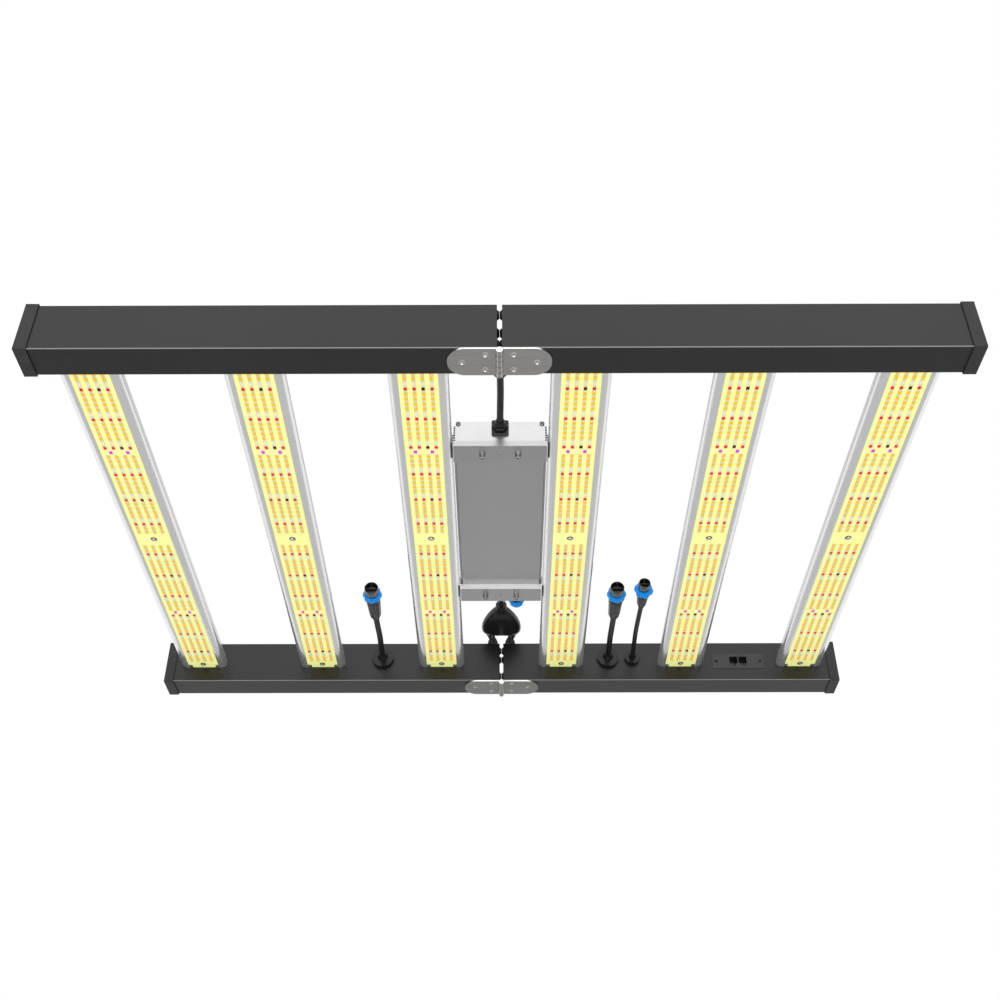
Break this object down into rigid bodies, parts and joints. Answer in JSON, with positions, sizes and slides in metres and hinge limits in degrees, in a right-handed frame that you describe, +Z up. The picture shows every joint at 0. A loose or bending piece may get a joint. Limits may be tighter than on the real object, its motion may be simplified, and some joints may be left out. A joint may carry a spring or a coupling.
{
  "type": "led grow light",
  "caption": "Folding LED grow light: slim LED bars across two hinged black beams, a lift-out power supply in the middle, and leads with blue-ringed connectors.",
  "frame": {"origin": "under the middle of the light, level with the undersides of the hinge barrels", "axes": "+X along the two beams, +Y along the light bars towards the beam that carries the leads, +Z up; the LEDs face -Z"},
  "size_m": [1.1, 0.825, 0.118],
  "materials": {
    "beam": "semi-gloss black powder coat over aluminium",
    "cap": "fine-textured black moulding",
    "dark_screw": "blackened steel",
    "hinge": "brushed",
    "bright_screw": "zinc plated",
    "bar": "satin anodised extrusion",
    "board": "pale yellow solder mask on an aluminium core",
    "led": "phosphor-filled silicone in a white package",
    "wire": "cable jacket",
    "fitting": "black nylon",
    "ring": "bright blue moulding",
    "jack": "black moulding",
    "driver": "satin extruded case",
    "pcb": "green circuit board with components"
  },
  "bodies": {
    "left_half": {"front_beam_left": "beam", "rear_beam_left": "beam", "end_caps_left": "cap", "end_plates_left": "beam", "plate_screws_left": "dark_screw", "hinge_leaves_left": "hinge", "hinge_screws_left": "hinge", "light_bar_1": "bar", "light_bar_2": "bar", "light_bar_3": "bar", "led_boards_left": "board", "leds_left": "led", "board_screws_left": "bright_screw", "bar_bolts_left": "bright_screw", "wiring_left": "wire", "beam_socket_left": "fitting", "hanging_nuts_left": "bright_screw", "hinge_pins": "hinge", "lead_gland_left": "fitting", "lead_left": "wire", "lead_plug_left": "fitting"},
    "right_half": {"front_beam_right": "beam", "rear_beam_right": "beam", "end_caps_right": "cap", "end_plates_right": "beam", "plate_screws_right": "dark_screw", "hinge_leaves_right": "hinge", "hinge_screws_right": "hinge", "light_bar_4": "bar", "light_bar_5": "bar", "light_bar_6": "bar", "led_boards_right": "board", "leds_right": "led", "board_screws_right": "bright_screw", "bar_bolts_right": "bright_screw", "wiring_right": "wire", "beam_socket_right": "fitting", "hanging_nuts_right": "bright_screw", "lead_glands_right": "fitting", "lead_right": "wire", "lead_plug_right": "fitting", "dimmer_lead": "wire", "dimmer_plug": "fitting", "control_jack": "jack"},
    "driver_unit": {"driver_housing": "driver", "driver_end_plates": "driver", "driver_fasteners": "bright_screw", "driver_feet": "driver", "driver_brackets": "driver", "driver_board": "pcb", "driver_glands": "fitting", "supply_lead": "wire", "supply_plug": "fitting", "splitter": "fitting", "splitter_cables": "wire", "splitter_plugs": "fitting"},
    "ring_left": {"lead_ring_left": "ring"},
    "ring_right": {"lead_ring_right": "ring"},
    "ring_dimmer": {"dimmer_ring": "ring"},
    "ring_port": {"port_ring": "ring"}
  },
  "joints": [
    {"name": "fold", "type": "hinge", "parent": "left_half", "child": "right_half", "pos_m": [0, 0, 0.004], "axis": [0, 1, 0], "range_deg": [0, 180]},
    {"name": "driver_lift", "type": "slide", "parent": "left_half", "child": "driver_unit", "axis": [0, 0, 1], "range_m": [0, 0.12]},
    {"name": "ring_left_turn", "type": "hinge", "parent": "left_half", "child": "ring_left", "pos_m": [-0.195, 0.1633, 0.0425], "axis": [0, 1, 0], "continuous": true},
    {"name": "ring_right_turn", "type": "hinge", "parent": "right_half", "child": "ring_right", "pos_m": [0.175, 0.1633, 0.0425], "axis": [0, 1, 0], "continuous": true},
    {"name": "ring_dimmer_turn", "type": "hinge", "parent": "right_half", "child": "ring_dimmer", "pos_m": [0.215, 0.1513, 0.0425], "axis": [0, 1, 0], "continuous": true},
    {"name": "ring_port_turn", "type": "hinge", "parent": "driver_unit", "child": "ring_port", "pos_m": [0.0236, 0.1873, 0.048], "axis": [0, 1, 0], "continuous": true}
  ]
}
